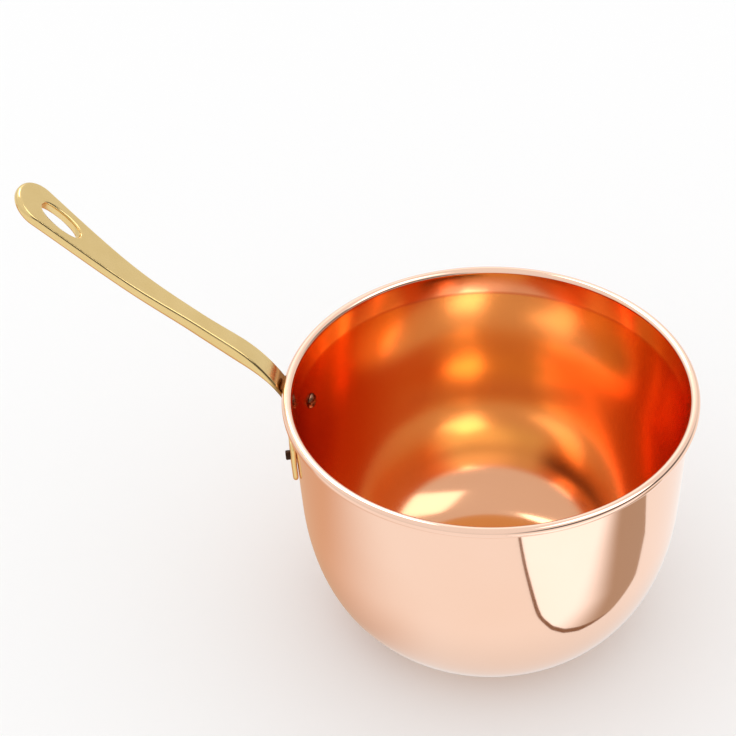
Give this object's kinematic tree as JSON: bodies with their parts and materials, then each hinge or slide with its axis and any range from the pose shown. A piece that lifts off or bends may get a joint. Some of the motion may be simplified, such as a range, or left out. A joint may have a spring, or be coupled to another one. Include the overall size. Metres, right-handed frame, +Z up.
{
  "type": "zabaglione pan",
  "caption": "Deep round-bottomed copper pan with a rolled rim and a riveted brass handle that rises outward to a rounded end with a hang slot, for whisking zabaglione over heat.",
  "frame": {"origin": "centre of the flat base that the pan stands on", "axes": "+Z up along the bowl's axis, -X towards the handle, the plane y = 0 cuts the pan into mirror halves"},
  "size_m": [0.2893, 0.1836, 0.2199],
  "materials": {
    "polished_copper": "mirror polished copper sheet",
    "cast_brass": "polished cast brass",
    "rivet_copper": "darkened copper, hammered and brushed"
  },
  "bodies": {
    "root": {"bowl": "polished_copper", "handle": "cast_brass", "rivet_near": "rivet_copper", "rivet_far": "rivet_copper"}
  },
  "joints": []
}
